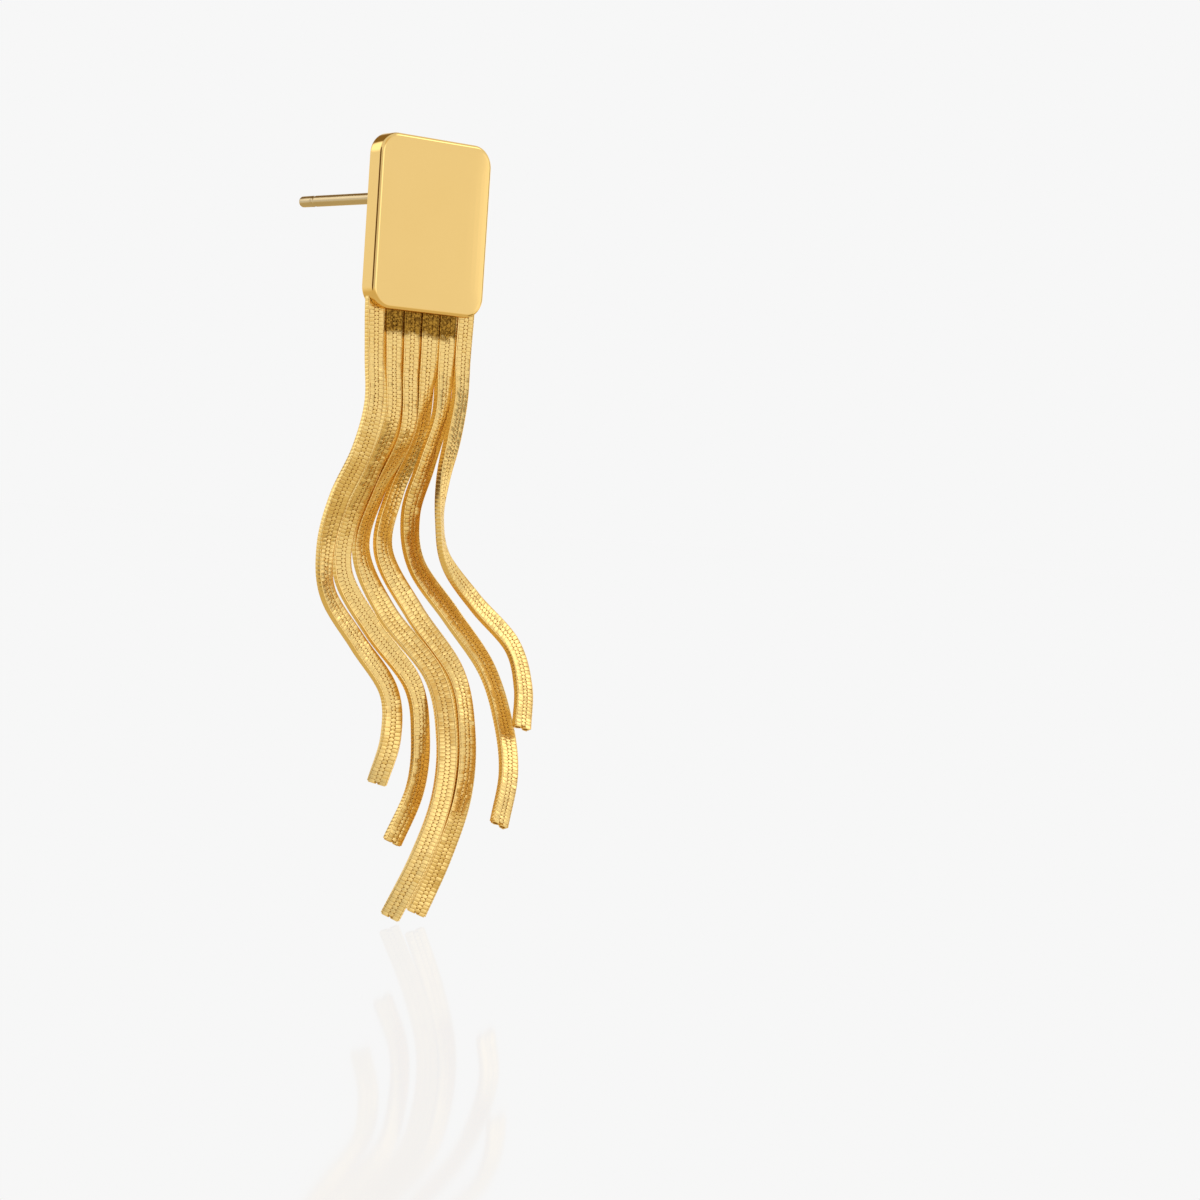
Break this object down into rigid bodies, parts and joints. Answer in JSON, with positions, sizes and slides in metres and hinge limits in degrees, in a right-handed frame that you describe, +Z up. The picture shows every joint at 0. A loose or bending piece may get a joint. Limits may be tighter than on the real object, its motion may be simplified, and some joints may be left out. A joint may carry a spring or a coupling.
{
  "type": "dangle earring",
  "caption": "Drop earring with a polished rounded rectangular plate on an ear post and flat snake-chain strands of staggered lengths hanging from it in waves.",
  "frame": {"origin": "root of the ear post, on the back face of the plate", "axes": "+Z up, +X to the right seen from the front, +Y to the back, along the ear post"},
  "size_m": [0.0146, 0.0213, 0.0519],
  "materials": {
    "plate_gold": "polished gold plating",
    "post_gold": "drawn and tumbled, gold plated",
    "chain_gold": "bright rolled and gold plated"
  },
  "bodies": {
    "root": {"face_plate": "plate_gold", "ear_post": "post_gold", "chain_strand_1": "chain_gold", "chain_strand_2": "chain_gold", "chain_strand_3": "chain_gold", "chain_strand_4": "chain_gold", "chain_strand_5": "chain_gold", "chain_strand_6": "chain_gold"}
  },
  "joints": []
}
